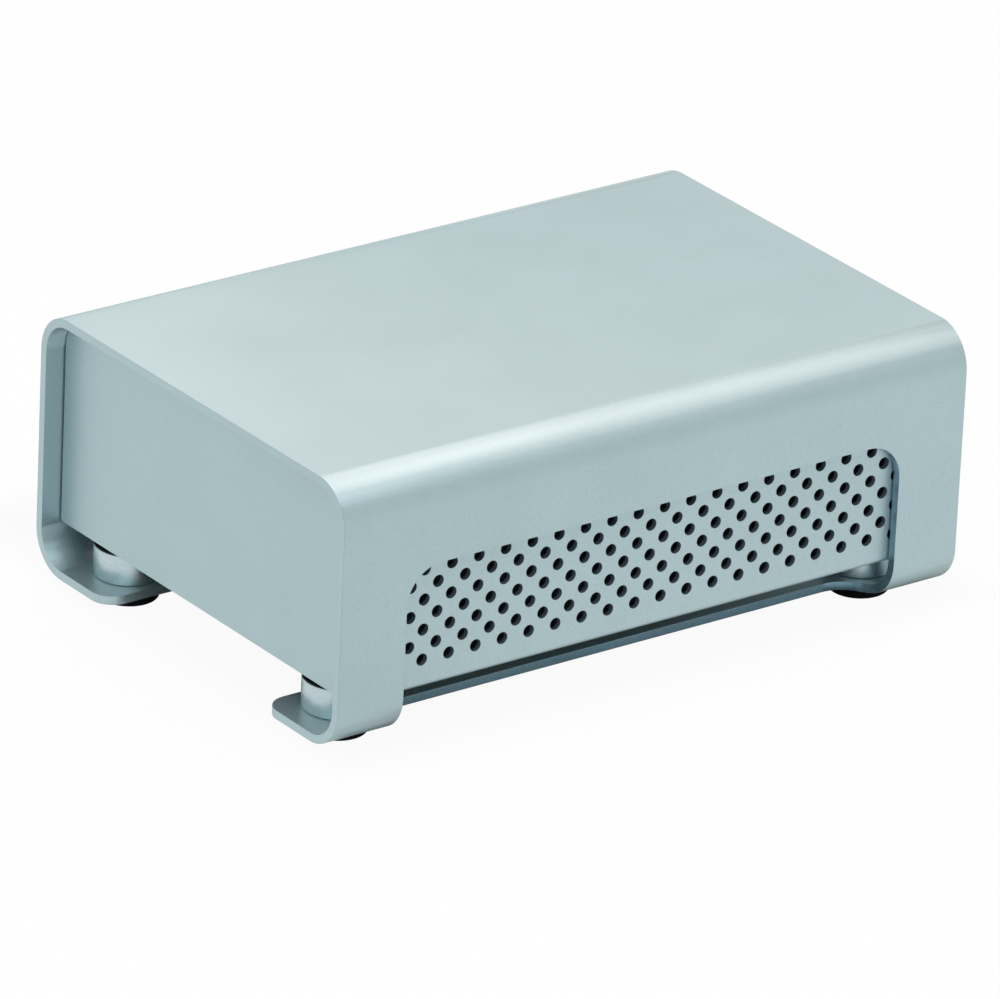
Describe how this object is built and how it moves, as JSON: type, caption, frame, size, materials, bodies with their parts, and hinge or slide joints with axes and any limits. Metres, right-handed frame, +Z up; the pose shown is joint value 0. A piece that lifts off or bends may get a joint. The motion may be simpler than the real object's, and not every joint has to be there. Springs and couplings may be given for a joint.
{
  "type": "desktop electronics enclosure",
  "caption": "Low box enclosure: a folded metal cover with rounded long edges and windows wraps a perforated inner case on spacers and rubber feet.",
  "frame": {"origin": "on the ground, under the middle of the outer cover", "axes": "+X along the length, from the front end panel to the rear one; +Y across, from the right side to the left; +Z up"},
  "size_m": [0.189, 0.13, 0.0738],
  "materials": {
    "case_finish": "satin silver-blue",
    "chassis_finish": "matte black",
    "spacer_metal": "bare turned metal, mottled",
    "pad_rubber": "matte black",
    "foot_rubber": "matte black",
    "fastener_steel": "zinc plated"
  },
  "bodies": {
    "root": {"outer_cover": "case_finish", "right_side_panel": "case_finish", "left_side_panel": "case_finish", "chassis": "chassis_finish", "front_end_panel": "case_finish", "rear_end_panel": "case_finish", "front_panel_studs": "fastener_steel", "rear_panel_studs": "fastener_steel", "front_panel_nuts": "fastener_steel", "rear_panel_nuts": "fastener_steel", "rubber_foot_front_right": "foot_rubber", "spacer_front_right": "spacer_metal", "spacer_pad_front_right": "pad_rubber", "foot_screw_front_right": "fastener_steel", "press_nut_front_right": "fastener_steel", "board_standoff_front_right": "fastener_steel", "rubber_foot_front_left": "foot_rubber", "spacer_front_left": "spacer_metal", "spacer_pad_front_left": "pad_rubber", "foot_screw_front_left": "fastener_steel", "press_nut_front_left": "fastener_steel", "board_standoff_front_left": "fastener_steel", "rubber_foot_rear_right": "foot_rubber", "spacer_rear_right": "spacer_metal", "spacer_pad_rear_right": "pad_rubber", "foot_screw_rear_right": "fastener_steel", "press_nut_rear_right": "fastener_steel", "board_standoff_rear_right": "fastener_steel", "rubber_foot_rear_left": "foot_rubber", "spacer_rear_left": "spacer_metal", "spacer_pad_rear_left": "pad_rubber", "foot_screw_rear_left": "fastener_steel", "press_nut_rear_left": "fastener_steel", "board_standoff_rear_left": "fastener_steel"}
  },
  "joints": []
}
